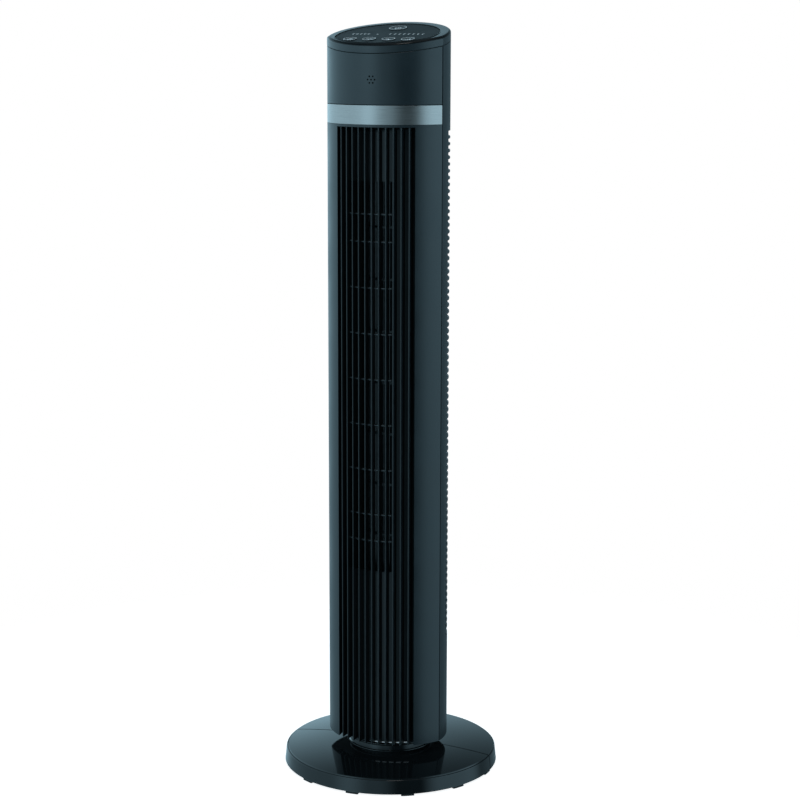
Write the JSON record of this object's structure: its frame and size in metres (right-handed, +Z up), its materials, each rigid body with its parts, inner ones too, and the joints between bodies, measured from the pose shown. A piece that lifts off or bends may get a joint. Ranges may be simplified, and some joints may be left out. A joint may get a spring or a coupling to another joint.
{
  "type": "tower fan",
  "caption": "Upright column fan with a cross-flow impeller, ribbed front outlet, wrap-round rear intake, slanted control top and a round swivel base.",
  "frame": {"origin": "on the floor under the swing axis, the centre of the round base's footprint", "axes": "+Z up, the fan's front faces -Y, +X is to the right of someone who looks at the front"},
  "size_m": [0.297, 0.297, 1.0234],
  "materials": {
    "shell_plastic": "satin moulded charcoal plastic",
    "grille_plastic": "satin moulded dark plastic",
    "gloss_plastic": "polished black plastic",
    "silver_trim": "fine brushed silver finish",
    "inner_plastic": "plain moulded black plastic",
    "acetal": "natural acetal",
    "rubber": "matt black rubber",
    "steel": "bright steel",
    "motor_steel": "zinc-plated steel",
    "copper": "bronze and copper",
    "circuit_board": "green solder mask",
    "button_plastic": "smooth dark plastic with a fine sheen"
  },
  "bodies": {
    "base": {"base_front_half": "gloss_plastic", "base_rear_half": "gloss_plastic", "foot_01": "rubber", "foot_02": "rubber", "foot_03": "rubber", "foot_04": "rubber", "foot_05": "rubber", "foot_06": "rubber", "foot_07": "rubber", "foot_08": "rubber", "foot_09": "rubber", "foot_10": "rubber", "foot_11": "rubber", "foot_12": "rubber", "pedestal": "inner_plastic", "neck_ring": "gloss_plastic", "slip_washer": "acetal", "swivel_clip": "steel", "cord_gland": "rubber", "base_screw_1": "steel", "base_screw_2": "steel", "base_screw_3": "steel", "base_screw_4": "steel"},
    "column": {"lower_housing": "inner_plastic", "oscillation_motor": "motor_steel", "front_shell": "shell_plastic", "front_grille": "grille_plastic", "rear_shell": "shell_plastic", "head_front": "shell_plastic", "head_band": "silver_trim", "head_frame": "inner_plastic", "sounder": "inner_plastic", "top_cap": "shell_plastic", "control_panel": "gloss_plastic", "control_board": "circuit_board", "air_duct": "inner_plastic", "duct_tongue": "inner_plastic", "motor_mount": "inner_plastic", "motor_housing": "motor_steel", "motor_stator": "copper", "upper_bearing_plate": "inner_plastic", "bearing_bush": "copper", "bearing_grommet": "rubber", "power_board": "circuit_board", "wiring_loom": "rubber", "case_screw_1": "steel", "case_screw_2": "steel", "case_screw_3": "steel", "case_screw_4": "steel"},
    "impeller": {"impeller": "grille_plastic", "motor_rotor": "steel", "drive_coupling": "rubber", "impeller_top_shaft": "steel"},
    "crank": {"crank_arm": "acetal"},
    "button_1": {"button_1": "button_plastic"},
    "button_2": {"button_2": "button_plastic"},
    "button_3": {"button_3": "button_plastic"},
    "button_4": {"button_4": "button_plastic"},
    "button_power": {"button_power": "button_plastic"}
  },
  "joints": [
    {"name": "oscillation", "type": "hinge", "parent": "base", "child": "column", "pos_m": [0, 0, 0.045], "axis": [0, 0, 1], "range_deg": [-33, 33]},
    {"name": "impeller_spin", "type": "hinge", "parent": "column", "child": "impeller", "pos_m": [0.006, 0.008, 0.54], "axis": [0, 0, 1], "continuous": true},
    {"name": "crank_spin", "type": "hinge", "parent": "column", "child": "crank", "pos_m": [0, 0.03107, 0.04], "axis": [0, 0, 1], "continuous": true},
    {"name": "button_1_press", "type": "slide", "parent": "column", "child": "button_1", "axis": [0, 0.2011, -0.9796], "range_m": [0, 0.0008], "stiffness_N_per_m": 400},
    {"name": "button_2_press", "type": "slide", "parent": "column", "child": "button_2", "axis": [0, 0.2011, -0.9796], "range_m": [0, 0.0008], "stiffness_N_per_m": 400},
    {"name": "button_3_press", "type": "slide", "parent": "column", "child": "button_3", "axis": [0, 0.2011, -0.9796], "range_m": [0, 0.0008], "stiffness_N_per_m": 400},
    {"name": "button_4_press", "type": "slide", "parent": "column", "child": "button_4", "axis": [0, 0.2011, -0.9796], "range_m": [0, 0.0008], "stiffness_N_per_m": 400},
    {"name": "button_power_press", "type": "slide", "parent": "column", "child": "button_power", "axis": [0, 0.2011, -0.9796], "range_m": [0, 0.0008], "stiffness_N_per_m": 400}
  ]
}
